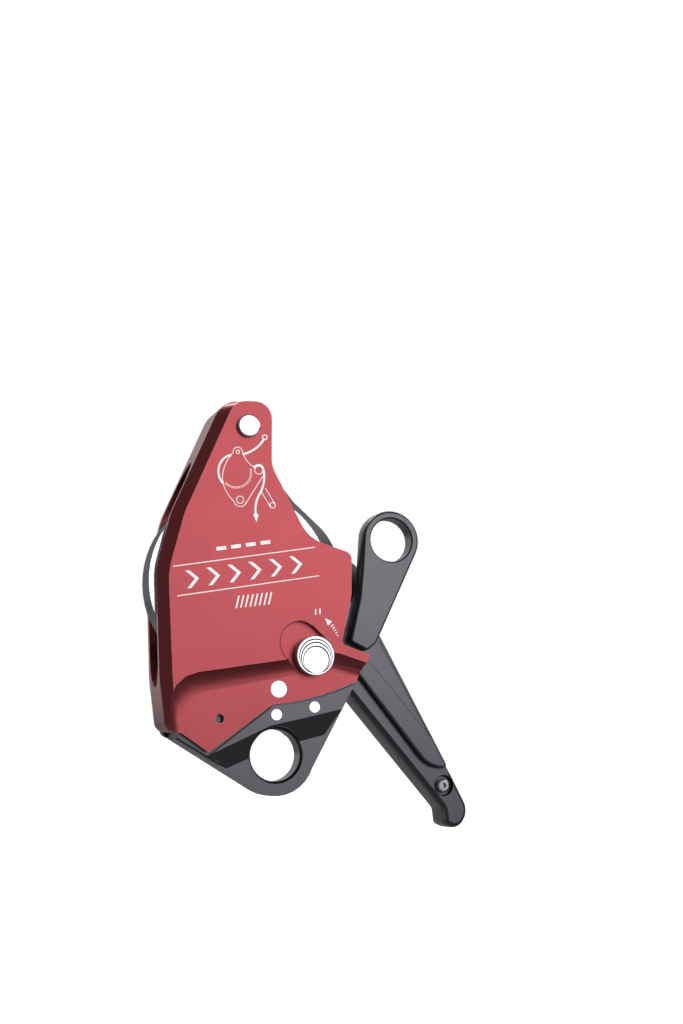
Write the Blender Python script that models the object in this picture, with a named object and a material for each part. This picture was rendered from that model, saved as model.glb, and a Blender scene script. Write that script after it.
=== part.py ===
"""Rope clutch: a swinging front cover, a braked sheave, an anchor body and a release handle.

Working frame in millimetres: sheave centre at x = z = 0, front of the device towards -Y, +Z up.
"""
import math

import bmesh
import bpy
from mathutils import Vector

MM = 0.001

# Depths along Y, front to back
COVER_FRONT = -12.0
COVER_STEP = -9.5
COVER_BEVEL = -9.2
COVER_BACK = -7.2
SKIRT_BACK = 8.4
SKIRT_WALL = 2.2
SKIRT_INSET = 0.08
WINDOW_Y = (-7.0, 6.0)
WINDOW_Z = (-33.0, 45.0)
BODY_FRONT = -6.9
BODY_BACK = 8.7
BACK_PLATE = (9.0, 12.6)
EYE_HALF = 4.5
ARM_BACK = -5.5

# Axes in the XZ plane
TOP_PIN = (8.2, 54.4)
SHEAVE = (0.0, 0.0)
HANDLE_AXIS = (38.5, -14.0)
EYE = (5.1, -61.8)
RING = (56.5, 8.8)
BUTTON = (21.6, -29.2)
LOWER_STUD = (7.8, -39.1)
VENT = (-14.7, -46.4)
EYE_RIVETS = ((5.8, -47.8), (20.0, -47.0))
HANDLE_SCREW = (73.9, -83.0)
BACK_SCREWS = ((-22.0, -48.2), (8.0, -46.6), (30.0, -43.4))

# Left edge of the cover at its back and, inside the bevel, on its face: corner x, z and radius
LEFT_EDGE = [
    (-33.9, -49.2, 4.0), (-33.8, -30.0, 30.0), (-30.2, 8.0, 30.0), (-22.8, 26.4, 30.0), (0.6, 64.6, 10.0),
]
LEFT_FACE = [
    (-30.6, -49.2, 0.8), (-29.8, -30.0, 30.0), (-26.8, 6.0, 30.0), (-18.6, 25.8, 30.0), (4.6, 64.0, 7.0),
]

# Lowered band across the bottom of the cover: where its floor ends and where its hollow meets the face
BAND_FOOT = [
    (-27.6, -70.0, 0.0), (-27.6, -37.0, 9.0), (24.0, -34.4, 8.0), (56.0, -43.6, 0.0), (56.0, -70.0, 0.0),
]
BAND_BRIM = [
    (-33.6, -70.0, 0.0), (-32.0, -29.8, 12.0), (30.0, -29.0, 8.0), (56.0, -41.0, 0.0), (56.0, -70.0, 0.0),
]
BAND_STEPS = 6
BAND_TURN = 75.0
COVER_STEPS = 7

# Latch
LATCH_ANGLE = 130.0
LATCH_TRAVEL = 5.0
POCKET_LENGTH = 6.8
STEM_R = 1.7

# Radii
PIN_R = 3.2
BORE_R = 3.26
EYE_R = 9.1
EYE_OUTER = 14.2
RING_R = 7.9
RING_OUTER = 10.7
BUTTON_R = 7.0
POCKET_R = 7.6
SHEAVE_R = 33.0
ROOT_R = 26.5
SHEAVE_Y = (-6.6, 5.4)
ROPE_SPACE_R = 42.0
COVER_SWEEP_R = 98.6
SWEEP_GAP = 0.7
HUB_R = 13.6
CAM_OFFSET = 0.8

# Ratchet: teeth and the turn (degrees) and radius of each corner of a tooth; pawls on the other side
TEETH = 12
TOOTH = ((0.0, 13.2), (9.0, 15.0), (26.0, 15.0))
PAWL_NAMES = ("upper", "lower")
PAWL_ANGLE = 70.0
PAWL_PIN_R = 9.4
PAWL_REACH = 40.0

SEGMENTS = 48
SMALL = 24

RED = ((0.36, 0.035, 0.045, 1.0), 0.42, 0.85)
BLACK = ((0.022, 0.023, 0.027, 1.0), 0.4, 0.75)
STEEL = ((0.72, 0.73, 0.75, 1.0), 0.22, 1.0)
DARK_STEEL = ((0.30, 0.31, 0.33, 1.0), 0.38, 1.0)
BRONZE = ((0.45, 0.30, 0.14, 1.0), 0.4, 1.0)

for old in list(bpy.data.objects):
    bpy.data.objects.remove(old)

root = bpy.data.objects.new("device_frame", None)
bpy.context.collection.objects.link(root)
nodes = []


def empty(name, x, y, z, parent=root):
    """A joint frame whose origin lies on the axis of the joint."""
    e = bpy.data.objects.new(name, None)
    bpy.context.collection.objects.link(e)
    e.parent = parent
    base = Vector(parent.get("at", (0.0, 0.0, 0.0)))
    e["at"] = (x, y, z)
    e.location = (Vector((x, y, z)) - base) * MM
    return e


def finish(name, verts, faces, look, parent, smooth):
    """Turn millimetre vertices in the working frame into a named object under its joint frame."""
    base = Vector(parent.get("at", (0.0, 0.0, 0.0)))
    mesh = bpy.data.meshes.new(name)
    mesh.from_pydata([(Vector(v) - base) * MM for v in verts], [], faces)
    bm = bmesh.new()
    bm.from_mesh(mesh)
    bmesh.ops.recalc_face_normals(bm, faces=bm.faces)
    if bm.calc_volume(signed=True) < 0:
        bmesh.ops.reverse_faces(bm, faces=bm.faces)
    bm.to_mesh(mesh)
    bm.free()
    if smooth:
        mesh.shade_smooth()
        mesh.set_sharp_from_angle(angle=math.radians(35.0))
    obj = bpy.data.objects.new(name, mesh)
    bpy.context.collection.objects.link(obj)
    obj.parent = parent
    if look is None:
        obj.hide_render = True
        obj.display_type = "WIRE"
        return obj
    mat = bpy.data.materials.new(name)
    mat.use_nodes = True
    shader = mat.node_tree.nodes["Principled BSDF"]
    shader.inputs["Base Color"].default_value = look[0]
    shader.inputs["Roughness"].default_value = look[1]
    shader.inputs["Metallic"].default_value = look[2]
    mesh.materials.append(mat)
    nodes.append(obj)
    return obj


def loft(name, layers, look=None, parent=root, smooth=True):
    """Closed solid through outlines of equal count; layers is [(y, [(x, z), ...]), ...]."""
    n = len(layers[0][1])
    verts = [(x, y, z) for y, ring in layers for x, z in ring]
    faces = [tuple(range(n)), tuple(range(len(verts) - n, len(verts)))]
    for k in range(len(layers) - 1):
        for i in range(n):
            j = (i + 1) % n
            faces.append((k * n + i, k * n + j, (k + 1) * n + j, (k + 1) * n + i))
    return finish(name, verts, faces, look, parent, smooth)


def prism(name, ring, y0, y1, look=None, parent=root):
    return loft(name, [(y0, ring), (y1, ring)], look, parent)


def inset(ring, distance):
    """The outline moved inwards by distance, point by point."""
    area = sum(a[0] * b[1] - b[0] * a[1] for a, b in zip(ring, ring[1:] + ring[:1]))
    sign = 1.0 if area > 0 else -1.0
    moved = []
    for i, (x, z) in enumerate(ring):
        here = Vector((x, z))
        back = (here - Vector(ring[i - 1])).normalized()
        ahead = (Vector(ring[(i + 1) % len(ring)]) - here).normalized()
        normal = Vector((-back.y - ahead.y, back.x + ahead.x)).normalized()
        stretch = max(normal.dot(Vector((-back.y, back.x))), 0.5)
        moved.append(tuple(here + normal * (sign * distance / stretch)))
    return moved


def pillow(name, ring, y0, y1, radius, depth, back_radius, steps, look=None, parent=root):
    """A slab with its front rim rounded over by radius across and depth in, its back rim by back_radius."""
    layers = []
    for k in range(steps + 1):
        t = math.radians(90.0 * k / steps)
        layers.append((y0 + depth * (1 - math.cos(t)), inset(ring, radius * (1 - math.sin(t)))))
    if back_radius == 0.0:
        return loft(name, layers + [(y1, ring)], look, parent)
    for k in range(steps, -1, -1):
        t = math.radians(90.0 * k / steps)
        layers.append((y1 - back_radius * (1 - math.cos(t)), inset(ring, back_radius * (1 - math.sin(t)))))
    return loft(name, layers, look, parent)


def lathe(name, profile, at, look=None, parent=root, segments=SEGMENTS):
    """Revolve a closed (radius, y) profile about the Y axis through at."""
    verts, faces, rows = [], [], []
    for r, y in profile:
        if r < 1e-6:
            rows.append([len(verts)] * segments)
            verts.append((at[0], y, at[1]))
            continue
        rows.append(list(range(len(verts), len(verts) + segments)))
        for k in range(segments):
            a = 2 * math.pi * k / segments
            verts.append((at[0] + r * math.cos(a), y, at[1] + r * math.sin(a)))
    closed = all(r > 1e-6 for r, _ in profile)
    pairs = list(zip(rows, rows[1:]))
    if closed:
        pairs.append((rows[-1], rows[0]))
    for lo, hi in pairs:
        for k in range(segments):
            j = (k + 1) % segments
            loop = [lo[k], lo[j], hi[j], hi[k]]
            loop = [v for i, v in enumerate(loop) if v != loop[i - 1]]
            if len(loop) > 2:
                faces.append(tuple(loop))
    return finish(name, verts, faces, look, parent, True)


def disc(name, r, y0, y1, at, look=None, parent=root, segments=SMALL, edge=0.0):
    """A round bar from y0 to y1, its two rims chamfered by edge."""
    if edge:
        rim = [(0, y0), (r - edge, y0), (r, y0 + edge), (r, y1 - edge), (r - edge, y1), (0, y1)]
    else:
        rim = [(0, y0), (r, y0), (r, y1), (0, y1)]
    return lathe(name, rim, at, look, parent, segments)


def tube(name, r0, r1, y0, y1, at, look=None, parent=root, segments=SMALL):
    return lathe(name, [(r0, y0), (r1, y0), (r1, y1), (r0, y1)], at, look, parent, segments)


def arc(at, r, a0, a1, count):
    """Points on a circle about at, angles in degrees, both ends included."""
    turns = [math.radians(a0 + (a1 - a0) * k / count) for k in range(count + 1)]
    return [(at[0] + r * math.cos(t), at[1] + r * math.sin(t)) for t in turns]


def rounded(corners, steps=4):
    """Outline through (x, z, radius) corners, every rounded corner an arc of the same number of steps."""
    ring = []
    n = len(corners)
    for i, (x, z, r) in enumerate(corners):
        here = Vector((x, z))
        before = (Vector(corners[i - 1][:2]) - here).normalized()
        after = (Vector(corners[(i + 1) % n][:2]) - here).normalized()
        if r <= 0:
            ring.append((x, z))
            continue
        half = before.angle(after) / 2
        back = r / math.tan(half)
        centre = here + (before + after).normalized() * (r / math.sin(half))
        start = here + before * back - centre
        turn = math.pi - 2 * half
        if start.cross(here + after * back - centre) < 0:
            turn = -turn
        for k in range(steps + 1):
            a = turn * k / steps
            c, s = math.cos(a), math.sin(a)
            ring.append((centre.x + start.x * c - start.y * s, centre.y + start.x * s + start.y * c))
    return ring


def path(before, corners, after):
    """Rounded corners of an open outline that runs on from before and on to after."""
    return rounded([(*before, 0.0)] + corners + [(*after, 0.0)])[1:-1]


def combine(obj, other, mode):
    mod = obj.modifiers.new(mode.lower(), "BOOLEAN")
    mod.operation = mode
    mod.solver = "EXACT"
    mod.object = other
    return obj


def cut(obj, *cutters):
    for c in cutters:
        combine(obj, c, "DIFFERENCE")
    return obj


def bevel(obj, width, angle=40.0):
    mod = obj.modifiers.new("edge", "BEVEL")
    mod.width = width * MM
    mod.segments = 1
    mod.limit_method = "ANGLE"
    mod.angle_limit = math.radians(angle)
    mod.use_clamp_overlap = True
    return obj


def along(at, angle, distance):
    a = math.radians(angle)
    return (at[0] + distance * math.cos(a), at[1] + distance * math.sin(a))


def stadium(a, b, r, count=8):
    """Outline of a slot of radius r between two centres."""
    turn = math.degrees(math.atan2(b[1] - a[1], b[0] - a[0]))
    return arc(a, r, turn + 90, turn + 270, count) + arc(b, r, turn - 90, turn + 90, count)


# ------------------------------------------------------------------ joint frames
cover_axis = empty("cover_axis", TOP_PIN[0], COVER_BACK, TOP_PIN[1])
latch_axis = empty("latch_axis", BUTTON[0], COVER_STEP, BUTTON[1], cover_axis)
carrier_axis = empty("carrier_axis", TOP_PIN[0], 7.2, TOP_PIN[1])
sheave_axis = empty("sheave_axis", 0.0, 0.0, 0.0, carrier_axis)
handle_axis = empty("handle_axis", HANDLE_AXIS[0], 13.0, HANDLE_AXIS[1])

# ------------------------------------------------------------------ front cover
def sweep_arc(r):
    """The lower right edge of the cover runs on a circle about the top pin."""
    return arc(TOP_PIN, r, -73.2, -92.0, 5)


def cover_outline(left):
    """Cover outline; left holds the corners of the left edge from the bottom up."""
    right = [(18.2, 62.6, 6.0), (15.0, 39.5, 10.0), (25.2, 12.4, 14.0), (40.6, 5.4, 3.0)]
    right += [(38.4, -9.5, 20.0), (32.2, -26.2, 2.0), (42.4, -31.4, 0.8)]
    low = [(-20.0, -57.2, 1.2), (-28.8, -49.2, 2.0)]
    ring = rounded(right + [(37.0, -40.2, 0.0)] + low + left, COVER_STEPS)
    start = len(right) * (COVER_STEPS + 1)
    return ring[:start] + sweep_arc(COVER_SWEEP_R) + ring[start + 1:]


edge_ring = cover_outline(LEFT_EDGE)
face_ring = cover_outline(LEFT_FACE)
cover = loft(
    "front_cover",
    [(COVER_BACK, edge_ring), (COVER_BEVEL, edge_ring), (COVER_FRONT, face_ring)],
    RED,
    cover_axis,
)

# Skirt: the left edge turned back over the sheave, with a long window for the rope
skirt_path = rounded([(-29.0, -49.0, 0.0)] + LEFT_EDGE + [(9.0, 64.6, 0.0)], COVER_STEPS)[1:-1]
outer, inner = [], []
for i, (x, z) in enumerate(skirt_path):
    a = Vector(skirt_path[max(i - 1, 0)])
    b = Vector(skirt_path[min(i + 1, len(skirt_path) - 1)])
    d = (b - a).normalized()
    outer.append((x + d.y * SKIRT_INSET, z - d.x * SKIRT_INSET))
    inner.append((x + d.y * SKIRT_WALL, z - d.x * SKIRT_WALL))
skirt = prism("skirt_shape", outer + inner[::-1], COVER_BACK - 0.8, SKIRT_BACK)
combine(cover, skirt, "UNION")


def window_ring(x):
    """Rope window seen from the left, both ends round."""
    mid = sum(WINDOW_Y) / 2
    r = (WINDOW_Y[1] - WINDOW_Y[0]) / 2
    pts = []
    for z0, a0 in ((WINDOW_Z[1] - r * 1.6, 0.0), (WINDOW_Z[0] + r * 1.6, 180.0)):
        for k in range(9):
            a = math.radians(a0 + 180.0 * k / 8)
            pts.append((x, mid + r * math.cos(a), z0 + 1.6 * r * math.sin(a)))
    return pts


ring0, ring1 = window_ring(-60.0), window_ring(-1.0)
count = len(ring0)
sides = [(i, (i + 1) % count, (i + 1) % count + count, i + count) for i in range(count)]
ends = [tuple(range(count)), tuple(range(count, 2 * count))]
window = finish("window_shape", ring0 + ring1, ends + sides, None, root, False)

# Lowered band across the bottom, joined to the face by a broad hollow fillet
foot_ring = rounded(BAND_FOOT)
brim_ring = rounded(BAND_BRIM)
band_layers = []
for k in range(BAND_STEPS + 1):
    t = math.radians(BAND_TURN * k / BAND_STEPS)
    rise = (1 - math.cos(t)) / (1 - math.cos(math.radians(BAND_TURN)))
    reach = math.sin(t) / math.sin(math.radians(BAND_TURN))
    mix = [tuple(Vector(a).lerp(Vector(b), reach)) for a, b in zip(foot_ring, brim_ring)]
    band_layers.append((COVER_STEP + (COVER_FRONT - COVER_STEP) * rise, mix))
band_layers.append((COVER_FRONT - 2.0, brim_ring))
band = loft("band_shape", band_layers)

# Pocket the latch button slides in, the stem slot and the recess behind it
pocket_end = along(BUTTON, LATCH_ANGLE, POCKET_LENGTH)
stem_end = along(BUTTON, LATCH_ANGLE, LATCH_TRAVEL)
pocket = prism("pocket_shape", stadium(pocket_end, BUTTON, POCKET_R), COVER_STEP, COVER_FRONT - 2.0)
slot_ring = stadium(stem_end, BUTTON, STEM_R + 0.2)
stem_slot = prism("stem_slot_shape", slot_ring, COVER_STEP - 1.0, COVER_BACK + 1.0)
foot_slot = prism("foot_slot_shape", stadium(stem_end, BUTTON, 4.4), COVER_BACK - 1.3, COVER_BACK + 1.0)
pin_bore = disc("cover_bore", BORE_R, -20.0, 0.0, TOP_PIN)
stud_bore = disc("stud_bore", 2.95, -20.0, 0.0, LOWER_STUD)
vent_bore = disc("vent_bore", 1.6, -20.0, 0.0, VENT, segments=16)
cut(cover, window, band, pocket, stem_slot, foot_slot, pin_bore, stud_bore, vent_bore)

lower_stud = disc("lower_stud", 2.9, COVER_BACK - 2.3, COVER_BACK, LOWER_STUD, STEEL, cover_axis)

# ------------------------------------------------------------------ latch
lathe(
    "latch_button",
    [
        (0.0, -13.4), (4.6, -13.4), (5.1, -14.0), (5.6, -14.2), (6.5, -14.2), (BUTTON_R, -13.8),
        (BUTTON_R, -9.8), (STEM_R, -9.8), (STEM_R, -8.5), (0.0, -8.5),
    ],
    BUTTON, STEEL, latch_axis,
)
disc("latch_foot", 4.1, COVER_BACK - 1.2, COVER_BACK - 0.2, BUTTON, DARK_STEEL, latch_axis)

# ------------------------------------------------------------------ top pin and its pieces
lathe(
    "top_pin",
    [(0.0, -13.8), (3.6, -13.8), (4.1, -13.3), (4.1, -12.2), (PIN_R, -12.2), (PIN_R, 12.6), (0.0, 12.6)],
    TOP_PIN, STEEL, segments=SEGMENTS,
)
tube("top_spacer", BORE_R, 4.6, -6.9, 5.5, TOP_PIN, DARK_STEEL)

# ------------------------------------------------------------------ anchor body with eye and ring arm
block_ring = [(-29.4, -49.4)] + arc(SHEAVE, ROPE_SPACE_R + 2.0, 229.5, 293.0, 8)
block_ring += arc(SHEAVE, ROPE_SPACE_R, 296.0, 346.0, 7)
block_ring += [(50.0, -9.8), (56.8, -9.9), (45.0, -28.6), (24.0, -57.0), (12.0, -64.0), (-9.0, -67.0)]
block_ring += [(-29.2, -51.2)]
body = prism("anchor_body", block_ring, BODY_FRONT, BODY_BACK, BLACK)

# Thin the block to the eye's own thickness below the flange
eye_ring = [(-30.4, -51.2)] + [(-6.8, -46.0), (30.0, -46.0), (34.6, -45.4)]
eye_ring += arc(EYE, EYE_OUTER, -26.0, -128.0, 9)
eye = prism("eye_shape", eye_ring, -EYE_HALF, EYE_HALF)
cheek_top = [(-40.0, -64.2), (3.4, -51.2), (14.0, -50.4), (60.0, -46.4), (60.0, -90.0), (-40.0, -90.0)]
cheek_foot = [(-40.0, -71.0), (-4.3, -61.4), (14.6, -58.2), (60.0, -53.6), (60.0, -90.0), (-40.0, -90.0)]
cheek_layers = [(-20.0, cheek_top), (COVER_STEP, cheek_top), (-EYE_HALF, cheek_foot)]
front_cheek = loft("front_cheek_shape", cheek_layers)
back_cheek = loft(
    "back_cheek_shape",
    [
        (EYE_HALF, [(-40.0, -66.0), (-2.0, -60.0), (60.0, -52.0), (60.0, -90.0), (-40.0, -90.0)]),
        (20.0, [(-40.0, -57.0), (-2.0, -51.0), (60.0, -44.0), (60.0, -90.0), (-40.0, -90.0)]),
    ],
)

# Raised flange under the cover, its upper edge clear of the swinging cover
flange_top = arc(TOP_PIN, COVER_SWEEP_R + SWEEP_GAP, -92.0, -73.6, 5)
flange_ring = [(-19.6, -58.4)] + flange_top + [(34.6, -42.9), (24.2, -56.8), (12.0, -63.0), (-9.0, -66.4)]
flange = prism("flange_shape", flange_ring, COVER_STEP, BODY_FRONT + 1.0)

arm_corners = [
    (45.4, -27.6, 1.6), (41.6, -29.8, 1.2), (35.6, -25.8, 1.5), (41.4, -10.5, 14.0), (44.2, 1.6, 14.0),
]
ring_arc = arc(RING, RING_OUTER, 160.0, -30.0, 16)
arm_ring = ring_arc + path(ring_arc[-1], arm_corners, ring_arc[0])
arm = pillow("ring_arm_shape", arm_ring, COVER_FRONT, ARM_BACK, 0.8, 0.8, 0.4, 2)

combine(body, eye, "UNION")
combine(body, flange, "UNION")
combine(body, arm, "UNION")
eye_profile = [
    (0.0, -30.0), (EYE_R + 0.9, -30.0), (EYE_R + 0.9, -4.6), (EYE_R, -3.4),
    (EYE_R, 3.4), (EYE_R + 0.9, 4.6), (EYE_R + 0.9, 30.0), (0.0, 30.0),
]
eye_bore = lathe("eye_bore", eye_profile, EYE)
ring_profile = [
    (0.0, -14.0), (RING_R + 2.5, -14.0), (RING_R, COVER_FRONT + 0.5), (RING_R, 0.0), (0.0, 0.0),
]
ring_bore = lathe("ring_bore", ring_profile, RING)
cam_pocket = prism("cam_pocket", stadium((28.0, -14.0), HANDLE_AXIS, 8.0), 5.4, 20.0)
seat_ring = arc(SHEAVE, 45.2, -40.0, -15.0, 4) + arc(SHEAVE, 30.0, -15.0, -40.0, 4)
shoe_seat = prism("shoe_seat", seat_ring, -6.0, 5.0)
cut(body, front_cheek, back_cheek, eye_bore, ring_bore, cam_pocket, shoe_seat)
for k, at in enumerate(EYE_RIVETS):
    cut(body, disc("rivet_bore_%d" % k, 2.05, -20.0, -7.5, at, segments=16))
bevel(body, 0.35)
disc("eye_rivet_left", 1.95, COVER_STEP - 0.05, -7.6, EYE_RIVETS[0], STEEL)
disc("eye_rivet_right", 1.95, COVER_STEP - 0.05, -7.6, EYE_RIVETS[1], STEEL)

# ------------------------------------------------------------------ brake shoe
shoe_ring = arc(SHEAVE, 45.0, -39.6, -15.4, 6) + arc(SHEAVE, 39.6, -15.4, -39.6, 6)
shoe = prism("brake_shoe", shoe_ring, -5.8, 4.8, DARK_STEEL)
bevel(shoe, 0.3)

# ------------------------------------------------------------------ back plate
back_ring = rounded(
    [
        (18.0, 63.0, 6.0), (20.6, 41.0, 6.0), (28.4, 28.4, 12.0), (39.6, 15.6, 24.0), (43.6, 4.6, 3.0),
        (49.6, 3.4, 3.0), (50.2, -8.6, 1.0), (54.0, -10.2, 1.5), (44.8, -28.8, 2.0), (33.8, -45.0, 2.0),
        (-6.0, -49.0, 6.0), (-20.0, -56.4, 2.0), (-31.4, -49.6, 3.0),
        (-31.2, -30.0, 30.0), (-28.4, 6.0, 30.0), (-20.0, 26.0, 30.0), (2.2, 63.0, 9.0),
    ],
    5,
)
back = prism("back_plate", back_ring, BACK_PLATE[0], BACK_PLATE[1], BLACK)
cut(back, disc("back_pin_bore", BORE_R, 0.0, 30.0, TOP_PIN))
cut(back, disc("back_axle_bore", 4.56, 0.0, 30.0, HANDLE_AXIS))
cut(back, disc("back_window", 14.0, 0.0, 30.0, SHEAVE, segments=SEGMENTS))
for k, at in enumerate(BACK_SCREWS):
    cut(back, disc("back_screw_bore_%d" % k, 1.7, 0.0, 30.0, at, segments=16))
    cut(body, disc("body_screw_bore_%d" % k, 1.7, 4.0, 30.0, at, segments=16))
bevel(back, 0.4)
for k, at in enumerate(BACK_SCREWS):
    lathe(
        "back_screw_%s" % ("left", "middle", "right")[k],
        [
            (0.0, 13.4), (1.3, 13.4), (1.3, 14.3), (2.4, 14.3), (3.0, 13.6), (3.0, 12.8),
            (1.55, 12.8), (1.55, 4.3), (0.0, 4.3),
        ],
        at, STEEL, segments=16,
    )

# ------------------------------------------------------------------ sheave on its swinging carrier
lathe(
    "sheave",
    [
        (17.2, SHEAVE_Y[0]), (SHEAVE_R, SHEAVE_Y[0]), (SHEAVE_R, SHEAVE_Y[0] + 0.6), (ROOT_R, -2.6),
        (ROOT_R, 1.4), (SHEAVE_R, SHEAVE_Y[1] - 0.6), (SHEAVE_R, SHEAVE_Y[1]), (17.2, SHEAVE_Y[1]),
    ],
    SHEAVE, STEEL, sheave_axis, segments=60,
)
rows = [[], []]
for k in range(TEETH):
    for turn, r in TOOTH:
        angle = 360.0 * k / TEETH + turn
        rows[0].append(along(SHEAVE, angle, r))
        rows[1].append(along(SHEAVE, angle, 17.1))
total = len(rows[0])
tooth_verts = [(x, y, z) for y in (-4.0, 3.0) for row in rows for x, z in row]
tooth_faces = []
for a, b in ((0, 1), (1, 3), (3, 2), (2, 0)):
    for i in range(total):
        j = (i + 1) % total
        tooth_faces.append((a * total + i, a * total + j, b * total + j, b * total + i))
finish("ratchet_ring", tooth_verts, tooth_faces, DARK_STEEL, sheave_axis, True)

hub = lathe(
    "pawl_hub",
    [(3.6, -5.4), (6.0, -5.4), (6.0, 3.4), (12.4, 3.4), (12.4, 5.5), (3.6, 5.5)],
    SHEAVE, DARK_STEEL, carrier_axis, 32,
)
lathe(
    "sheave_axle",
    [(0.0, -6.6), (5.4, -6.6), (5.8, -6.2), (5.8, -5.6), (3.5, -5.6), (3.5, 8.6), (0.0, 8.6)],
    SHEAVE, STEEL, carrier_axis, 32,
)
for k in range(2):
    turn = PAWL_ANGLE + 180.0 * k
    at = along(SHEAVE, turn, PAWL_PIN_R)
    frame = empty("pawl_axis_" + PAWL_NAMES[k], at[0], 0.0, at[1], carrier_axis)
    cut(hub, disc("pawl_pin_bore_%d" % k, 1.05, -20.0, 20.0, at, segments=16))
    tip = along(SHEAVE, turn + PAWL_REACH, 12.2)
    nose = along(SHEAVE, turn + PAWL_REACH, 10.4)
    ring = rounded(
        [
            (*along(at, turn, 2.4), 1.0), (*tip, 0.3), (*nose, 0.3),
            (*along(at, turn + 180.0, 2.2), 1.0), (*along(at, turn + 270.0, 2.4), 1.0),
        ],
        3,
    )
    pawl = prism("pawl_" + PAWL_NAMES[k], ring, -3.4, 2.6, STEEL, frame)
    cut(pawl, disc("pawl_bore_%d" % k, 1.08, -20.0, 20.0, at, segments=16))
    disc("pawl_pin_" + PAWL_NAMES[k], 1.0, -4.0, 5.4, at, STEEL, carrier_axis, 16)

carrier_ring = rounded(
    [
        (1.8, 60.9, 5.5), (14.8, 60.9, 5.5), (12.6, 20.0, 12.0), (14.0, 4.0, 10.0), (33.2, -8.4, 1.5),
        (33.2, -20.4, 1.5), (0.0, -13.6, 12.0), (-13.6, -4.0, 9.0), (-9.6, 10.0, 8.0),
    ],
    4,
)
carrier = prism("sheave_carrier", carrier_ring, 5.8, 8.5, DARK_STEEL, carrier_axis)
cut(carrier, disc("carrier_bore", BORE_R, 0.0, 20.0, TOP_PIN))
cut(carrier, disc("carrier_axle_bore", 3.6, 0.0, 20.0, SHEAVE))
cut(carrier, disc("carrier_light_hole", 4.0, 0.0, 20.0, (4.4, 29.0)))
bevel(carrier, 0.3)

# ------------------------------------------------------------------ release handle behind the body
cam_middle = (HANDLE_AXIS[0], HANDLE_AXIS[1] + CAM_OFFSET)
cam = disc("release_cam", 4.9, 5.9, 8.5, cam_middle, STEEL, handle_axis, 32)
cut(cam, disc("cam_bore", 3.0, 0.0, 20.0, HANDLE_AXIS))
lathe(
    "handle_axle",
    [
        (0.0, 6.0), (2.9, 6.0), (2.9, 8.7), (4.5, 8.7), (4.5, 26.8), (7.0, 26.8), (7.0, 27.6), (6.4, 28.4),
        (0.0, 28.4),
    ],
    HANDLE_AXIS, STEEL, handle_axis, 32,
)
# Arm outline: hub circle, straight outer edge, hooked tip, straight inner edge
hub_arc = arc(HANDLE_AXIS, HUB_R, 212.0, 22.0, 16)
tip_corners = [
    (77.6, -78.0, 6.0), (83.4, -94.2, 7.0), (77.0, -101.0, 4.6), (72.4, -97.0, 2.2), (72.6, -91.6, 4.0),
]
handle_ring = hub_arc + path(hub_arc[-1], tip_corners, hub_arc[0])
handle = pillow("handle_arm", handle_ring, 13.2, 26.4, 1.8, 3.0, 1.4, 5, BLACK, handle_axis)
cut(handle, disc("handle_bore", 4.56, 0.0, 40.0, HANDLE_AXIS, segments=32))
screw_bore = [(0.0, 12.0), (4.5, 12.0), (3.5, 14.2), (3.5, 15.2), (1.3, 15.2), (1.3, 21.0), (0.0, 21.0)]
cut(handle, lathe("screw_bore", screw_bore, HANDLE_SCREW, segments=SMALL))
tube("handle_washer", 4.6, 8.0, 12.7, 13.1, HANDLE_AXIS, BRONZE, segments=32)

# Smooth leaf let into the front of the arm; its seat leaves a channel between it and the inner rib
leaf_ring = rounded([(37.0, -23.2, 2.0), (55.2, -20.0, 2.0), (77.1, -77.3, 1.4), (68.7, -75.4, 12.0)], 5)
pillow("handle_leaf", leaf_ring, 12.9, 15.4, 1.0, 1.0, 0.0, 3, BLACK, handle_axis)
seat_ring = [(34.4, -23.2), (45.0, -40.9), (53.7, -55.7), (61.6, -68.2), (64.4, -72.2), (67.4, -75.2)]
seat_ring += [(71.6, -77.4), (80.0, -79.6), (80.0, -70.0), (60.0, -18.0), (56.0, -19.5), (36.6, -22.8)]
cut(handle, prism("leaf_seat_shape", seat_ring, 10.0, 15.6))
screw = lathe(
    "handle_screw",
    [(0.0, 13.0), (1.9, 13.0), (2.6, 13.6), (2.6, 15.0), (1.2, 15.0), (1.2, 20.0), (0.0, 20.0)],
    HANDLE_SCREW, STEEL, handle_axis, SMALL,
)
cut(screw, disc("hex_socket", 1.05, 10.0, 14.2, HANDLE_SCREW, segments=6))

# ------------------------------------------------------------------ frame origin: centre of the bounding box
bpy.context.view_layer.update()
graph = bpy.context.evaluated_depsgraph_get()
low = [1e9] * 3
high = [-1e9] * 3
for obj in nodes:
    shape = obj.evaluated_get(graph)
    mesh = shape.to_mesh()
    for v in mesh.vertices:
        p = obj.matrix_world @ v.co
        for axis in range(3):
            low[axis] = min(low[axis], p[axis])
            high[axis] = max(high[axis], p[axis])
    shape.to_mesh_clear()
root.location = [-(low[axis] + high[axis]) / 2 for axis in range(3)]
bpy.context.view_layer.update()
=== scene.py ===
"""Looks of the rope clutch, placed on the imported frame.

Drawing frame: millimetres, sheave centre at x = z = 0, front of the device towards -Y, +Z up.
"""
import math

import bmesh
import bpy
from mathutils import Matrix, Vector


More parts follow.
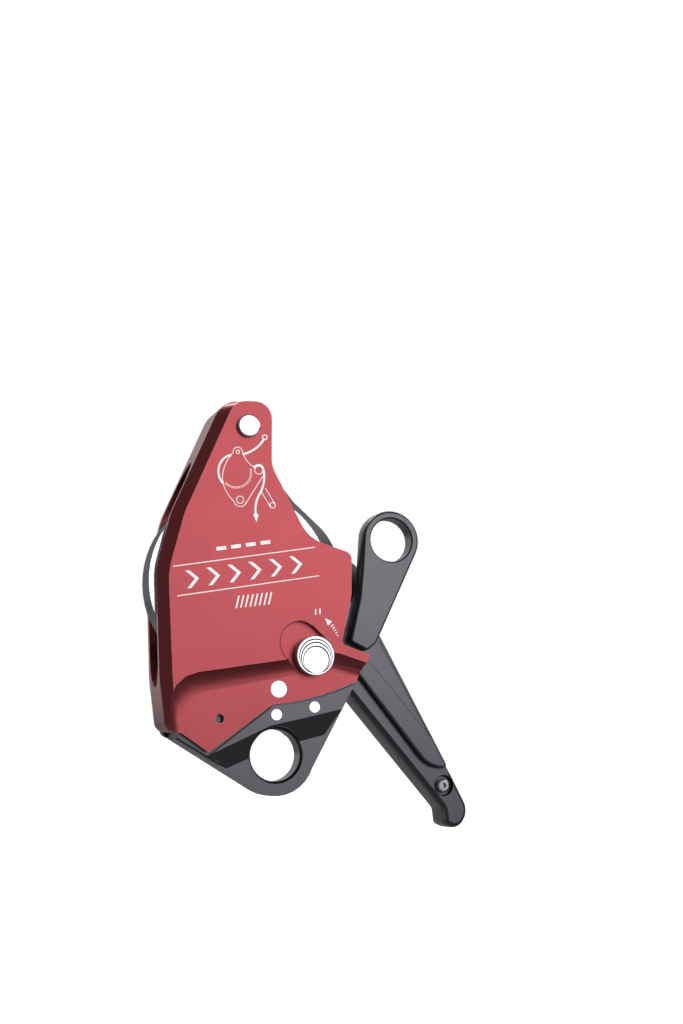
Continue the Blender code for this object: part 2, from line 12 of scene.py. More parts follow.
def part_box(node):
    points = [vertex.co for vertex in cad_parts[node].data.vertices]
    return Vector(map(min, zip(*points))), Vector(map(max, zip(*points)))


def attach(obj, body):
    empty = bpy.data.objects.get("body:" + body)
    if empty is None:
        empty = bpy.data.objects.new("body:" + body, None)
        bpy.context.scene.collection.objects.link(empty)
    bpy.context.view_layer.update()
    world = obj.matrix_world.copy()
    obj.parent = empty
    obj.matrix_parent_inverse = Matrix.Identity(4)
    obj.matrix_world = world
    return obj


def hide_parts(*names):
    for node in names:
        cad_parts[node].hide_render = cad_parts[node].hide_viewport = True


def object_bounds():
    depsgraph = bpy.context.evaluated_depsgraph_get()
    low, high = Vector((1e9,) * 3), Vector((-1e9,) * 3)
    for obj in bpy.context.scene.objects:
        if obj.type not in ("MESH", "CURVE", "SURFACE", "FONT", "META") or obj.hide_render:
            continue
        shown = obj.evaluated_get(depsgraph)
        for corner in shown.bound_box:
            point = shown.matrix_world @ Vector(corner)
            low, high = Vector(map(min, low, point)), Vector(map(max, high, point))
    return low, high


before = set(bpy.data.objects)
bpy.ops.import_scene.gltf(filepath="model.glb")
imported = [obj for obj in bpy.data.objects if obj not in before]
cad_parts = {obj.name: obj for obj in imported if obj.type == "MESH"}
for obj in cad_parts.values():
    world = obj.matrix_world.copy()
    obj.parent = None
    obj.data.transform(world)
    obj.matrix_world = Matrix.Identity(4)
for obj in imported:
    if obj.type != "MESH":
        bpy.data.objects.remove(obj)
cad_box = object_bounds()

# ------------------------------------------------------------------ drawing frame
MM = 0.001
COVER_FACE = -12.0

axle_low, axle_high = (Vector(corner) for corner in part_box("sheave_axle"))
cover_face_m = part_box("front_cover")[0][1]
ORIGIN = Vector((
    (axle_low.x + axle_high.x) / 2, cover_face_m - COVER_FACE * MM, (axle_low.z + axle_high.z) / 2,
))


def place(x, y, z):
    """A point of the drawing frame in the row frame, in metres."""
    return Vector((x, y, z)) * MM + ORIGIN


def node_box(name):
    """Low and high corner of a CAD node in the drawing frame."""
    return [(Vector(corner) - ORIGIN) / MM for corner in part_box(name)]


# ------------------------------------------------------------------ sizes and places
# Latch: the button, the middle of the pocket's upper end, and the arrow's arc beside them
button_low, button_high = node_box("latch_button")
BUTTON = ((button_low.x + button_high.x) / 2, (button_low.z + button_high.z) / 2)
LATCH_ANGLE = math.radians(130.0)
POCKET_LENGTH = 6.8
POCKET_MIDDLE = (
    BUTTON[0] + POCKET_LENGTH * math.cos(LATCH_ANGLE), BUTTON[1] + POCKET_LENGTH * math.sin(LATCH_ANGLE),
)
# Painted shade along the pocket's rim: radius about the pocket's middle, span of angles and width
POCKET_SHADE_R = 7.65
POCKET_SHADE_TURN = (70.0, 232.0)
POCKET_SHADE_WIDTH = 0.26
ARROW_CENTRE = (17.5, -26.5)
ARROW_R = 14.0
ARROW_BASE = 34.5
ARROW_POINT = 45.8
ARROW_DASHES = 5
DASH_TURN = 4.1

# Button: radius, depth and offset from the middle of each ring, and whether it belongs to a groove, whose
# faces get a dark material as painted shadow
RING_OFFSET_TURN = math.radians(-92.0)
BUTTON_RINGS = [
    (6.6, -9.8, 0.0, False), (7.0, -10.1, 0.0, False), (7.0, -13.3, 0.0, False), (6.75, -13.6, 0.0, False),
    (6.2, -13.6, 0.25, False),
    (6.15, -12.7, 0.28, True), (5.92, -12.7, 0.38, True), (5.88, -13.7, 0.4, True),
    (5.6, -13.7, 0.75, False),
    (5.55, -12.8, 0.78, True), (5.32, -12.8, 0.92, True), (5.28, -13.8, 0.95, True),
    (4.9, -13.8, 1.4, False),
    (4.85, -13.0, 1.43, True), (4.6, -13.0, 1.5, True), (4.55, -13.5, 1.55, True),
    (0.02, -13.5, 1.55, False),
]
BUTTON_SIDES = 64
STEM_R = 1.7
STEM_Y = (-9.9, -8.5)
STEM_SIDES = 24

# Print: flat strokes just in front of the cover's face
INK_Y = COVER_FACE - 0.035
INK_THICK = 0.03
# Strokes of painted shade lie this far in front of their face and are this thick
SHADE_STROKE_LIFT = 0.02
SHADE_STROKE_THICK = 0.02
RULE_LENGTH = 52.0
RULE_RISE = 1.6
RULE_WIDTH = 0.34
SLOPE = RULE_RISE / RULE_LENGTH
CHEVRONS = 6
CHEVRON = [(0.0, -3.1), (3.1, 0.0), (0.0, 3.1), (1.5, 3.1), (4.6, 0.0), (1.5, -3.1)]

# Rope drawing: its two line widths and the places of its lug, anchor, drum, guide ring, eye and lever
THIN = 0.28
THICK = 0.75
LUG, ANCHOR = (3.2, 45.5), (13.8, 50.0)
DRUM, RING, EYE = (1.5, 38.4), (10.0, 38.4), (1.8, 28.4)
LEVER_TOP, LEVER_END = (10.6, 31.4), (13.4, 25.4)
LUG_R = 1.7
EYE_R = 2.4
RING_R = 1.5
ROPE_RING_R = 1.8
LEVER_R = 1.0
ROPE_BEND, ROPE_DOWN, ROPE_TIP = (8.6, 29.0), (6.8, 22.6), (6.8, 19.8)

# Gripping ribs in the rope groove: for each flank, y at the root, y at the rim and the way into the groove
RIBS = 36
RIB_R = (26.3, 32.4)
RIB_FLANKS = ((-2.6, -5.9, 0.35), (1.4, 4.7, -0.35))
RIB_HALF_WIDTH = 0.45
RIB_LIFT = (-0.3, 1.0)

# Handle leaf: a milled line along it and fine notches down its right edge, drawn as flat black strokes of
# painted shade
LEAF_LINE = [(50.1, -32.4), (57.8, -43.5), (71.0, -64.4)]
LEAF_LINE_WIDTH = 0.16
NOTCHES = 46
NOTCH_TOP = (57.9, -26.5)
NOTCH_LOW = (72.1, -63.6)
NOTCH_WIDTH = 0.3

# Studio, in metres: floor, world levels and lamps (name, place, size, power)
FLOOR_DROP = 0.03
FLOOR_HALF = 6.0
FLOOR_TO_CAMERA = 0.88
FLOOR_TO_METAL = 0.02
FLOOR_SHADE = 0.25
WORLD_FRONT = 0.18
WORLD_BACK = 0.50
WORLD_TURN = (0.1, 0.75)
LAMPS = [
    ("front_box", (0.38, -0.94, 0.07), 0.95, 5.1),      # where the flat front faces mirror it to the camera
    ("low_left", (-0.45, 0.05, -0.085), 0.12, 0.1),
    ("top_back", (-0.1, 0.45, 0.75), 0.4, 2.0),
    ("right_side", (0.75, 0.1, 0.35), 0.45, 3.0),
    ("left_back", (-0.7, 0.35, 0.1), 0.3, 0.3),
]

# Camera: seen from the left and slightly below, the device leaning a little to the left
CAMERA_AT = (-144.7, -516.3, -39.5)
CAMERA_SIDE = math.radians(20.0)
CAMERA_BELOW = math.radians(6.4)
CAMERA_LEAN = math.radians(7.7)
SENSOR = 36.0
FOCAL_PER_HEIGHT = 1500.0 / 1024.0


# ------------------------------------------------------------------ node helpers
MIX_A, MIX_B, MIX_COLOUR = 6, 7, 2          # colour sockets of a Mix node


def colour(r, g, b):
    return (r, g, b, 1.0)


def grey(v):
    return colour(v, v, v)


def add_node(tree, kind, inputs=None, **settings):
    """A new node with its settings and the values of its unlinked inputs."""
    node = tree.nodes.new(kind)
    for key, value in settings.items():
        setattr(node, key, value)
    for socket, value in (inputs or {}).items():
        node.inputs[socket].default_value = value
    return node


def new_material(name):
    mat = bpy.data.materials.new(name)
    mat.use_nodes = True
    tree = mat.node_tree
    return mat, tree, tree.nodes["Principled BSDF"]


def noise(tree, scale, detail=2.0):
    """Noise in object coordinates, scale in features per metre."""
    coord = add_node(tree, "ShaderNodeTexCoord")
    node = add_node(tree, "ShaderNodeTexNoise", {"Scale": scale, "Detail": detail})
    tree.links.new(coord.outputs["Object"], node.inputs["Vector"])
    return node.outputs["Fac"]


def ramp(tree, source, *stops):
    """Colour between two stops, each a position and a colour."""
    node = add_node(tree, "ShaderNodeValToRGB")
    for element, (position, tone) in zip(node.color_ramp.elements, stops):
        element.position = position
        element.color = tone
    tree.links.new(source, node.inputs["Fac"])
    return node.outputs["Color"]


def bump(tree, shader, height, strength, distance):
    node = add_node(tree, "ShaderNodeBump", {"Strength": strength, "Distance": distance * MM})
    tree.links.new(height, node.inputs["Height"])
    tree.links.new(node.outputs["Normal"], shader.inputs["Normal"])


def edge_mask(tree, radius, low_dot, high_dot):
    """White where the surface turns sharply within radius, black on flat faces."""
    bevel = add_node(tree, "ShaderNodeBevel", {"Radius": radius * MM}, samples=4)
    geometry = add_node(tree, "ShaderNodeNewGeometry")
    dot = add_node(tree, "ShaderNodeVectorMath", operation="DOT_PRODUCT")
    tree.links.new(bevel.outputs["Normal"], dot.inputs[0])
    tree.links.new(geometry.outputs["Normal"], dot.inputs[1])
    node = add_node(tree, "ShaderNodeMapRange", {"From Min": high_dot, "From Max": low_dot})
    tree.links.new(dot.outputs["Value"], node.inputs["Value"])
    return node.outputs["Result"]


# ------------------------------------------------------------------ materials
def anodised(name, base, deep, edge, rough, metallic=1.0, coat=1.0, grain=9000.0, wear_and_shade=0.5):
    """Bead-blasted anodised aluminium: fine grain, faint cloudiness and edges of another tone, rubbed wear
    where that tone is lighter than the face and a painted dark reflection where it is darker.
    """
    mat, tree, shader = new_material(name)
    cloudy = ramp(tree, noise(tree, 60.0, 4.0), (0.3, deep), (0.7, base))
    mask = edge_mask(tree, 0.45, 0.80, 0.985)
    # Edge tone: rubbed wear when lighter than the face, painted dark reflection when darker
    rubbed_and_shaded = ramp(tree, noise(tree, 900.0, 3.0), (0.38, grey(0.0)), (0.62, grey(wear_and_shade)))
    amount = add_node(tree, "ShaderNodeMath", operation="MULTIPLY")
    tree.links.new(mask, amount.inputs[0])
    tree.links.new(rubbed_and_shaded, amount.inputs[1])
    mix = add_node(tree, "ShaderNodeMix", {MIX_B: edge}, data_type="RGBA")
    tree.links.new(amount.outputs["Value"], mix.inputs["Factor"])
    tree.links.new(cloudy, mix.inputs[MIX_A])
    tree.links.new(mix.outputs[MIX_COLOUR], shader.inputs["Base Color"])
    shader.inputs["Metallic"].default_value = metallic
    shader.inputs["Coat Weight"].default_value = coat
    shader.inputs["Coat Roughness"].default_value = rough
    fine = noise(tree, grain)
    gloss = ramp(tree, fine, (0.3, grey(rough - 0.05)), (0.7, grey(rough + 0.06)))
    tree.links.new(gloss, shader.inputs["Roughness"])
    bump(tree, shader, fine, 0.12, 0.04)
    return mat


def turned(name, base, rough, grain, bump_strength=0.08):
    """Bright metal, turned or ground, with a fine grain and faint smudges."""
    mat, tree, shader = new_material(name)
    fine = noise(tree, grain)
    smudge = noise(tree, 250.0, 4.0)
    dark = colour(*(c * 0.93 for c in base[:3]))
    tree.links.new(ramp(tree, smudge, (0.35, dark), (0.6, base)), shader.inputs["Base Color"])
    gloss = ramp(tree, smudge, (0.3, grey(rough)), (0.75, grey(rough + 0.06)))
    tree.links.new(gloss, shader.inputs["Roughness"])
    shader.inputs["Metallic"].default_value = 1.0
    bump(tree, shader, fine, bump_strength, 0.03)
    return mat


def glow(mat, strength):
    """Let a material give off a little white light of its own."""
    shader = mat.node_tree.nodes["Principled BSDF"]
    shader.inputs["Emission Color"].default_value = grey(1.0)
    shader.inputs["Emission Strength"].default_value = strength


RED = anodised(
    "red_anodised", base=colour(0.33, 0.030, 0.040), deep=colour(0.30, 0.026, 0.035),
    edge=colour(0.55, 0.22, 0.23), rough=0.36,
)
# Its edge tone is darker than its face: painted dark reflection on the bevels
BLACK = anodised(
    "black_anodised", base=colour(0.066, 0.064, 0.078), deep=colour(0.058, 0.056, 0.069),
    edge=colour(0.02, 0.02, 0.025), rough=0.34, wear_and_shade=0.8,
)
# A darker copy of the black anodising, used on the back plate: painted shade
BLACK_SHADED = anodised(
    "black_anodised_painted_shade", base=colour(0.030, 0.030, 0.036), deep=colour(0.024, 0.024, 0.029),
    edge=colour(0.09, 0.09, 0.10), rough=0.34,
)
STEEL = turned("polished_steel", base=colour(0.62, 0.63, 0.65), rough=0.17, grain=3000.0)
DARK_STEEL = turned(
    "machined_steel", base=colour(0.33, 0.34, 0.36), rough=0.30, grain=5000.0, bump_strength=0.2
)
# Matte black for the handle leaf's milled line and notches: painted shade of those grooves
LEAF_GROOVE_SHADE = anodised(
    "milled_groove_painted_shade", base=colour(0.010, 0.010, 0.012), deep=colour(0.006, 0.006, 0.008),
    edge=colour(0.02, 0.02, 0.02), rough=0.6, metallic=0.0, coat=0.0,
)
# Dark red for the ribbon along the pocket's rim: painted shade
POCKET_RIM_SHADE_RED = anodised(
    "painted_rim_shade", base=colour(0.10, 0.008, 0.010), deep=colour(0.07, 0.005, 0.007),
    edge=colour(0.14, 0.02, 0.02), rough=0.6, metallic=0.0, coat=0.0,
)
GROOVE_SHADOW = turned("groove_shadow", base=colour(0.10, 0.10, 0.11), rough=0.5, grain=5000.0, bump_strength=0.2)
BRONZE = turned("bearing_bronze", base=colour(0.50, 0.33, 0.15), rough=0.32, grain=4000.0)
PRINT = anodised(
    "white_print", base=colour(0.90, 0.90, 0.90), deep=colour(0.84, 0.84, 0.85),
    edge=colour(0.92, 0.92, 0.92), rough=0.5, metallic=0.0, coat=0.0, grain=12000.0,
)
glow(PRINT, 0.45)

# Material and edge bevel, in millimetres, of the CAD nodes; the others are polished steel
NODE_LOOKS = {
    "front_cover": (RED, 0.55),
    "anchor_body": (BLACK, 0.0),
    "back_plate": (BLACK_SHADED, 0.0),
    "handle_arm": (BLACK, 0.0),
    "handle_leaf": (BLACK, 0.0),
    "handle_screw": (DARK_STEEL, 0.1),
    "brake_shoe": (DARK_STEEL, 0.0),
    "latch_foot": (BLACK, 0.0),
    "top_spacer": (DARK_STEEL, 0.1),
    "ratchet_ring": (DARK_STEEL, 0.1),
    "pawl_hub": (DARK_STEEL, 0.1),
    "sheave_carrier": (DARK_STEEL, 0.0),
    "handle_washer": (BRONZE, 0.05),
}
PLAIN_LOOK = (STEEL, 0.12)


# ------------------------------------------------------------------ modifiers on the CAD nodes
def smooth_by_angle(limit):
    """Modifier group: weld, then smooth the curved faces, except across edges sharper than limit degrees."""
    group = bpy.data.node_groups.new("smooth_by_angle", "GeometryNodeTree")
    for in_out in ("INPUT", "OUTPUT"):
        group.interface.new_socket("Geometry", in_out=in_out, socket_type="NodeSocketGeometry")
    source = add_node(group, "NodeGroupInput")
    result = add_node(group, "NodeGroupOutput")
    weld = add_node(group, "GeometryNodeMergeByDistance", {"Distance": 0.01 * MM})
    forget = add_node(group, "GeometryNodeRemoveAttribute", {"Name": "custom_normal"})
    soft = add_node(group, "GeometryNodeSetShadeSmooth", domain="FACE")
    hard = add_node(group, "GeometryNodeSetShadeSmooth", {"Shade Smooth": False}, domain="EDGE")

    # Faces square to Y stay flat
    normal = add_node(group, "GeometryNodeInputNormal")
    split = add_node(group, "ShaderNodeSeparateXYZ")
    size = add_node(group, "ShaderNodeMath", operation="ABSOLUTE")
    curved = add_node(group, "FunctionNodeCompare", {"B": 0.9995}, data_type="FLOAT", operation="LESS_THAN")
    group.links.new(normal.outputs["Normal"], split.inputs["Vector"])
    group.links.new(split.outputs["Y"], size.inputs[0])
    group.links.new(size.outputs["Value"], curved.inputs["A"])
    group.links.new(curved.outputs["Result"], soft.inputs["Shade Smooth"])

    angle = add_node(group, "GeometryNodeInputMeshEdgeAngle")
    sharp = add_node(
        group, "FunctionNodeCompare", {"B": math.radians(limit)}, data_type="FLOAT", operation="GREATER_THAN"
    )
    group.links.new(angle.outputs["Unsigned Angle"], sharp.inputs["A"])
    group.links.new(sharp.outputs["Result"], hard.inputs["Selection"])
    steps = [source, forget, weld, soft, hard, result]
    for before, after in zip(steps, steps[1:]):
        group.links.new(before.outputs[0], after.inputs[0])
    return group


SOFT_SHADING = smooth_by_angle(28.0)


def dress(node, look, width):
    """Give a CAD node its material, a small bevel on its edges and smooth shading."""
    node.data.materials.clear()
    node.data.materials.append(look)
    if width > 0:
        edge = node.modifiers.new("soft_edge", "BEVEL")
        edge.width = width * MM
        edge.segments = 3
        edge.limit_method = "ANGLE"
        edge.angle_limit = math.radians(38.0)
        edge.harden_normals = False
    shading = node.modifiers.new("soft_shading", "NODES")
    shading.node_group = SOFT_SHADING


for name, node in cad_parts.items():
    dress(node, *NODE_LOOKS.get(name, PLAIN_LOOK))


# ------------------------------------------------------------------ mesh helpers
def add_mesh(name, verts, faces, look, body, sharp=None):
    """A piece that rides on a body, shaded smooth up to sharp degrees where that is given."""
    mesh = bpy.data.meshes.new(name)
    mesh.from_pydata([place(*v) for v in verts], [], faces)
    bm = bmesh.new()
    bm.from_mesh(mesh)
    bmesh.ops.recalc_face_normals(bm, faces=bm.faces)
    bm.to_mesh(mesh)
    bm.free()
    if sharp is not None:
        mesh.shade_smooth()
        mesh.set_sharp_from_angle(angle=math.radians(sharp))
    mesh.materials.append(look)
    obj = bpy.data.objects.new(name, mesh)
    bpy.context.scene.collection.objects.link(obj)
    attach(obj, body)
    return obj


def polar(centre, r, angle):
    """The (x, z) place at a radius and an angle in degrees about a centre."""
    a = math.radians(angle)
    return (centre[0] + r * math.cos(a), centre[1] + r * math.sin(a))


def arc(centre, r, start, end, steps):
    return [polar(centre, r, start + (end - start) * k / steps) for k in range(steps + 1)]


def bend(start, pull, end, steps=8):
    """A curve from start to end, pulled toward a third point."""
    t_values = [k / steps for k in range(steps + 1)]
    return [
        tuple((1 - t) ** 2 * a + 2 * t * (1 - t) * b + t * t * c for a, b, c in zip(start, pull, end))
        for t in t_values
    ]


def ribbon(points, width):
    """Flat ribbon of constant width along (x, z) points: its points and quads."""
    outline, quads = [], []
    last = len(points) - 1
    for i, (x, z) in enumerate(points):
        before, after = Vector(points[max(i - 1, 0)]), Vector(points[min(i + 1, last)])
        along = (after - before).normalized()
        side = Vector((-along.y, along.x)) * (width / 2)
        outline += [(x + side.x, z + side.y), (x - side.x, z - side.y)]
    for i in range(last):
        quads.append((2 * i, 2 * i + 2, 2 * i + 3, 2 * i + 1))
    return outline, quads


def flat_piece(name, strokes, y, thickness, look, body, fills=()):
    """Strokes (points, width) and filled outlines at one depth, as one thin mesh."""
    verts, faces = [], []
    shapes = [ribbon(points, width) for points, width in strokes]
    shapes += [(outline, [tuple(range(len(outline)))]) for outline in fills]
    for outline, polygons in shapes:
        base = len(verts)
        verts += [(x, y, z) for x, z in outline]
        faces += [tuple(base + i for i in polygon) for polygon in polygons]
    obj = add_mesh(name, verts, faces, look, body)
    ink = obj.modifiers.new("ink", "SOLIDIFY")
    ink.thickness = thickness * MM
    ink.offset = 0.0


def cover_print(name, strokes, fills=()):
    flat_piece(name, strokes, INK_Y, INK_THICK, PRINT, "cover", fills)


# ------------------------------------------------------------------ print on the cover
def cover_rules():
    """Two rules with plain chevrons between them."""
    rules = []
    for x, z in ((-25.0, 7.4), (-24.8, -2.9)):
        rules.append(([(x, z), (x + RULE_LENGTH, z + RULE_RISE)], RULE_WIDTH))
    chevrons = []
    for k in range(CHEVRONS):
        x = -21.0 + 7.6 * k
        z = 3.05 + SLOPE * x
        chevrons.append([(x + dx, z + dz) for dx, dz in CHEVRON])
    cover_print("cover_rules", rules, chevrons)


def cover_pattern():
    """Short bars above the rules and hatching below them."""
    strokes = []
    for k in range(4):
        x = -9.0 + 5.4 * k
        strokes.append(([(a, 12.2 + SLOPE * a) for a in (x, x + 3.6)], 1.3))
    for k in range(8):
        x = -4.6 + 1.7 * k
        strokes.append(([(x, -9.4), (x + 1.6, -5.2)], 0.55))
    cover_print("cover_pattern", strokes)


def side_line(a, b, r, side):
    """A straight line beside two places, at one distance from both."""
    along = (Vector(b) - Vector(a)).normalized()
    off = Vector((along.y, -along.x)) * r * side
    return ([tuple(Vector(a) + off), tuple(Vector(b) + off)], THIN)


def ring_line(centre, r, width=THIN):
    return (arc(centre, r, 0.0, 360.0, 20), width)


def dotted_arc(centre, r, length, start, end, count):
    """Short strokes pointing at a centre, spread over a span of angles."""
    strokes = []
    for k in range(count):
        angle = start + (end - start) * k / (count - 1)
        strokes.append(([polar(centre, q, angle) for q in (r, r + length)], THIN))
    return strokes


def rope_drawing():
    """The rope's way through the device: round the drum, over the guide ring and down."""
    left_side = bend((LUG[0] - LUG_R, LUG[1]), (-7.6, 37.0), (EYE[0] - EYE_R, EYE[1] - 0.4), 10)
    right_side = bend((LUG[0] + LUG_R, LUG[1]), (5.5, 41.5), (RING[0] - RING_R, RING[1] + 1.2))
    body = [(arc(LUG, LUG_R, 0.0, 180.0, 10), THIN), (arc(EYE, EYE_R, 190.0, 330.0, 10), THIN)]
    body += [(left_side, THIN), (right_side, THIN), side_line(EYE, RING, EYE_R, 1.0)]
    lever = [side_line(LEVER_TOP, LEVER_END, LEVER_R, side) for side in (1.0, -1.0)]
    lever += [ring_line(LEVER_END, LEVER_R)]
    holes = [ring_line(LUG, 0.6), ring_line(EYE, 1.3), ring_line(RING, RING_R), ring_line(ANCHOR, 0.85, 0.4)]
    ways = [
        arc(DRUM, 6.3, 100.0, 215.0, 16),
        bend((4.9, 44.4), (10.5, 45.6), (ANCHOR[0] - 0.5, ANCHOR[1] - 0.8)),
        arc(RING, ROPE_RING_R, 150.0, 10.0, 10),
        bend((RING[0] + ROPE_RING_R, RING[1]), (12.2, 33.5), ROPE_BEND),
        bend(ROPE_BEND, (6.8, 26.4), ROPE_DOWN),
    ]
    rope = [(way, THICK) for way in ways]
    hidden_rope = dotted_arc(DRUM, 5.2, 0.8, 222.0, 365.0, 22)
    x, z = ROPE_DOWN
    arrow = [(x - 1.0, z + 0.2), (x + 1.0, z + 0.2), ROPE_TIP]
    cover_print("cover_rope_path", body + lever + holes + rope + hidden_rope, [arrow])


def latch_marks():
    """Dashed arrow along an arc beside the latch, and two bars for its two movements."""
    dashes = []
    for k in range(ARROW_DASHES):
        half = (1.3 - 0.2 * k) / 2
        angle = ARROW_BASE - DASH_TURN * (k + 1)
        dashes.append(([polar(ARROW_CENTRE, ARROW_R + side, angle) for side in (-half, half)], 0.42))
    tip = [polar(ARROW_CENTRE, ARROW_R, ARROW_POINT)]
    tip += [polar(ARROW_CENTRE, ARROW_R + side, ARROW_BASE) for side in (1.0, -1.2)]
    cover_print("latch_arrow", dashes, [tip])
    cover_print("latch_count", [([(x, -14.9), (x + 0.3, -12.9)], 0.55) for x in (24.0, 25.6)])


def pocket_rim_shade():
    """Painted shade along the latch pocket's turned-down rim: a thin dark red ribbon laid on the cover's
    face.
    """
    rim = (arc(POCKET_MIDDLE, POCKET_SHADE_R, *POCKET_SHADE_TURN, 32), POCKET_SHADE_WIDTH)
    flat_piece("pocket_rim_shade", [rim], COVER_FACE - SHADE_STROKE_LIFT, SHADE_STROKE_THICK, POCKET_RIM_SHADE_RED, "cover")


cover_rules()
cover_pattern()
rope_drawing()
latch_marks()
pocket_rim_shade()


# ------------------------------------------------------------------ latch button with eccentric steps
def round_line(centre, r, y, sides):
    """Points of a circle about Y."""
    turns = [2 * math.pi * k / sides for k in range(sides)]
    return [(centre[0] + r * math.cos(t), y, centre[1] + r * math.sin(t)) for t in turns]


def add_turned(verts, faces, circles):
    """Join circles of equally many points, one after the other, and close both ends."""
    base = len(verts)
    sides = len(circles[0])
    for circle in circles:
        verts += circle
    for row in range(len(circles) - 1):
        here, there = base + row * sides, base + (row + 1) * sides
        for k in range(sides):
            j = (k + 1) % sides
            faces.append((here + k, here + j, there + j, there + k))
    faces.append(tuple(range(base, base + sides)))
    faces.append(tuple(range(len(verts) - sides, len(verts))))


def latch_button():
    verts, faces = [], []
    circles = []
    for r, y, offset, _ in BUTTON_RINGS:
        x = BUTTON[0] + offset * math.cos(RING_OFFSET_TURN)
        z = BUTTON[1] + offset * math.sin(RING_OFFSET_TURN)
        circles.append(round_line((x, z), r, y, BUTTON_SIDES))
    add_turned(verts, faces, circles)
    add_turned(verts, faces, [round_line(BUTTON, STEM_R, y, STEM_SIDES) for y in STEM_Y])
    button = add_mesh("latch_button_fine", verts, faces, STEEL, "latch", sharp=30.0)
    button.data.materials.append(GROOVE_SHADOW)
    for polygon in button.data.polygons:
        inner_ring = polygon.index // BUTTON_SIDES + 1
        if inner_ring < len(BUTTON_RINGS) and BUTTON_RINGS[inner_ring][3]:
            polygon.material_index = 1
    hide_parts("latch_button")


latch_button()


# ------------------------------------------------------------------ gripping ribs in the rope groove
BLOCK_FACES = ((0, 1, 3, 2), (4, 6, 7, 5), (0, 4, 5, 1), (2, 3, 7, 6), (1, 5, 7, 3), (0, 2, 6, 4))


def sheave_ribs():
    """Radial ribs on both flanks of the groove, those of one flank between those of the other."""
    verts, faces = [], []
    for side, (y_root, y_rim, into) in enumerate(RIB_FLANKS):
        for k in range(RIBS):
            middle = 2 * math.pi * (k + 0.5 * side) / RIBS
            base = len(verts)
            for r, y in zip(RIB_R, (y_root, y_rim)):
                for across in (-RIB_HALF_WIDTH, RIB_HALF_WIDTH):
                    turn = middle + across / r
                    verts += [(r * math.cos(turn), y + into * lift, r * math.sin(turn)) for lift in RIB_LIFT]
            faces += [tuple(base + i for i in face) for face in BLOCK_FACES]
    add_mesh("sheave_ribs", verts, faces, STEEL, "sheave_set")


sheave_ribs()


# ------------------------------------------------------------------ painted shade of the milled line and notches on the handle leaf
def handle_leaf_groove_shade():
    leaf_face = node_box("handle_leaf")[0].y
    strokes = [(LEAF_LINE, LEAF_LINE_WIDTH)]
    for k in range(NOTCHES):
        t = k / (NOTCHES - 1)
        x = NOTCH_TOP[0] + (NOTCH_LOW[0] - NOTCH_TOP[0]) * t
        z = NOTCH_TOP[1] + (NOTCH_LOW[1] - NOTCH_TOP[1]) * t
        strokes.append(([(x - 2.5 + 0.9 * t, z + 0.1), (x - 1.15, z - 0.1)], NOTCH_WIDTH))
    flat_piece("handle_leaf_groove_shade", strokes, leaf_face - SHADE_STROKE_LIFT, SHADE_STROKE_THICK, LEAF_GROOVE_SHADE, "handle")


handle_leaf_groove_shade()


# ------------------------------------------------------------------ floor, world and lamps
def pale_floor_material():
    """Pale to the camera, but nearly dark to the metal, which would mirror it."""
    mat, tree, shader = new_material("pale_floor")
    pale = ramp(tree, noise(tree, 2.0), (0.3, grey(0.86)), (0.7, grey(0.88)))
    to_camera = add_node(tree, "ShaderNodeLightPath").outputs["Is Camera Ray"]
    shade = add_node(tree, "ShaderNodeMix", {MIX_A: grey(FLOOR_SHADE)}, data_type="RGBA")
    tree.links.new(to_camera, shade.inputs["Factor"])
    tree.links.new(pale, shade.inputs[MIX_B])
    tree.links.new(shade.outputs[MIX_COLOUR], shader.inputs["Base Color"])
    shader.inputs["Roughness"].default_value = 0.8
    shader.inputs["Emission Color"].default_value = grey(1.0)
    level = add_node(tree, "ShaderNodeMapRange", {"To Min": FLOOR_TO_METAL, "To Max": FLOOR_TO_CAMERA})
    tree.links.new(to_camera, level.inputs["Value"])
    tree.links.new(level.outputs["Result"], shader.inputs["Emission Strength"])
    return mat


def add_floor():
    z = cad_box[0][2] - FLOOR_DROP
    mesh = bpy.data.meshes.new("floor")
    corners = [(FLOOR_HALF * i, FLOOR_HALF * j, z) for i, j in ((-1, -1), (1, -1), (1, 1), (-1, 1))]
    mesh.from_pydata(corners, [], [(0, 1, 2, 3)])
    floor = bpy.data.objects.new("floor", mesh)
    bpy.context.scene.collection.objects.link(floor)
    mesh.materials.append(pale_floor_material())


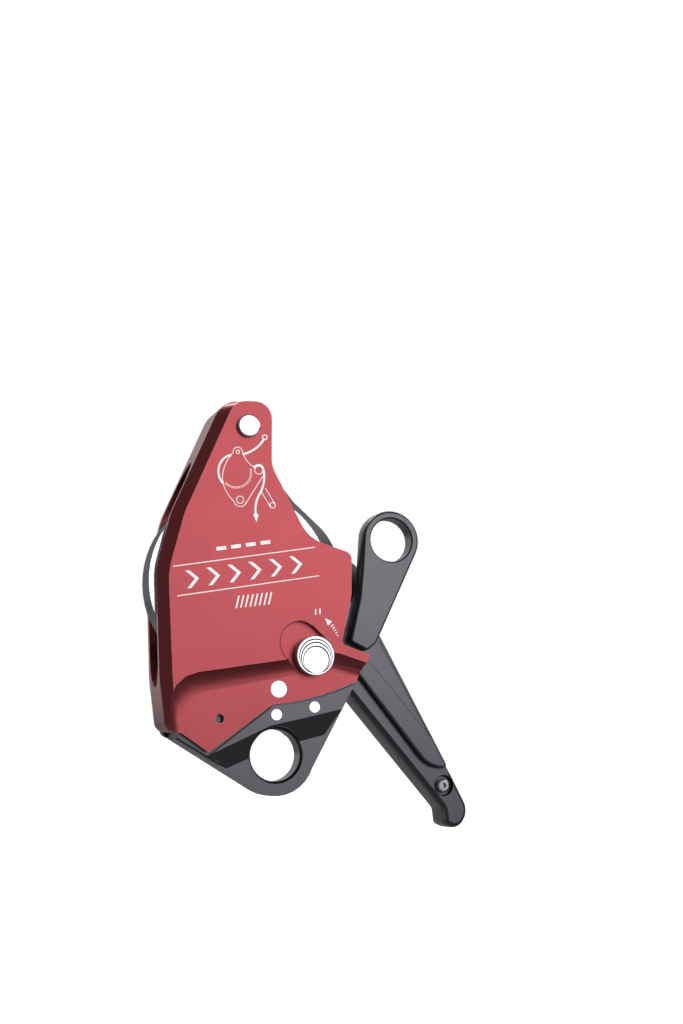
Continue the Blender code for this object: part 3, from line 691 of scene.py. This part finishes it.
def studio_world():
    """White to the camera; the metal sees a dim room with a bright backdrop behind the device."""
    world = bpy.data.worlds.new("studio")
    world.use_nodes = True
    tree = world.node_tree
    background = tree.nodes["Background"]
    background.inputs["Color"].default_value = grey(1.0)
    to_camera = add_node(tree, "ShaderNodeLightPath").outputs["Is Camera Ray"]
    level = add_node(tree, "ShaderNodeMapRange", {"To Max": 1.0})
    direction = add_node(tree, "ShaderNodeTexCoord")
    split = add_node(tree, "ShaderNodeSeparateXYZ")
    tree.links.new(direction.outputs["Generated"], split.inputs["Vector"])
    limits = {
        "From Min": WORLD_TURN[0], "From Max": WORLD_TURN[1], "To Min": WORLD_FRONT, "To Max": WORLD_BACK,
    }
    backdrop = add_node(tree, "ShaderNodeMapRange", limits, interpolation_type="SMOOTHSTEP")
    tree.links.new(split.outputs["Y"], backdrop.inputs["Value"])
    tree.links.new(backdrop.outputs["Result"], level.inputs["To Min"])
    tree.links.new(to_camera, level.inputs["Value"])
    tree.links.new(level.outputs["Result"], background.inputs["Strength"])
    bpy.context.scene.world = world
    bpy.context.scene.view_settings.view_transform = "Standard"


def add_lamp(name, at, size, power):
    """A round area lamp that faces the device."""
    data = bpy.data.lights.new(name, "AREA")
    data.shape = "DISK"
    data.size = size
    data.energy = power
    lamp = bpy.data.objects.new(name, data)
    lamp.location = at
    lamp.rotation_euler = (-Vector(at)).to_track_quat("-Z", "Y").to_euler()
    bpy.context.scene.collection.objects.link(lamp)


add_floor()
studio_world()
for lamp in LAMPS:
    add_lamp(*lamp)


# ------------------------------------------------------------------ camera
def add_camera():
    across, ahead = math.sin(CAMERA_SIDE), math.cos(CAMERA_SIDE)
    flat = math.cos(CAMERA_BELOW)
    forward = Vector((across * flat, ahead * flat, math.sin(CAMERA_BELOW)))
    level = Vector((ahead, -across, 0.0))
    upright = level.cross(forward)
    right = level * math.cos(CAMERA_LEAN) - upright * math.sin(CAMERA_LEAN)
    up = level * math.sin(CAMERA_LEAN) + upright * math.cos(CAMERA_LEAN)
    data = bpy.data.cameras.new("camera")
    data.lens = SENSOR * FOCAL_PER_HEIGHT
    data.clip_start = 0.01
    camera = bpy.data.objects.new("camera", data)
    turn = Matrix((right, up, -forward)).transposed().to_4x4()
    camera.matrix_world = Matrix.Translation(place(*CAMERA_AT)) @ turn
    bpy.context.scene.collection.objects.link(camera)
    bpy.context.scene.camera = camera


add_camera()
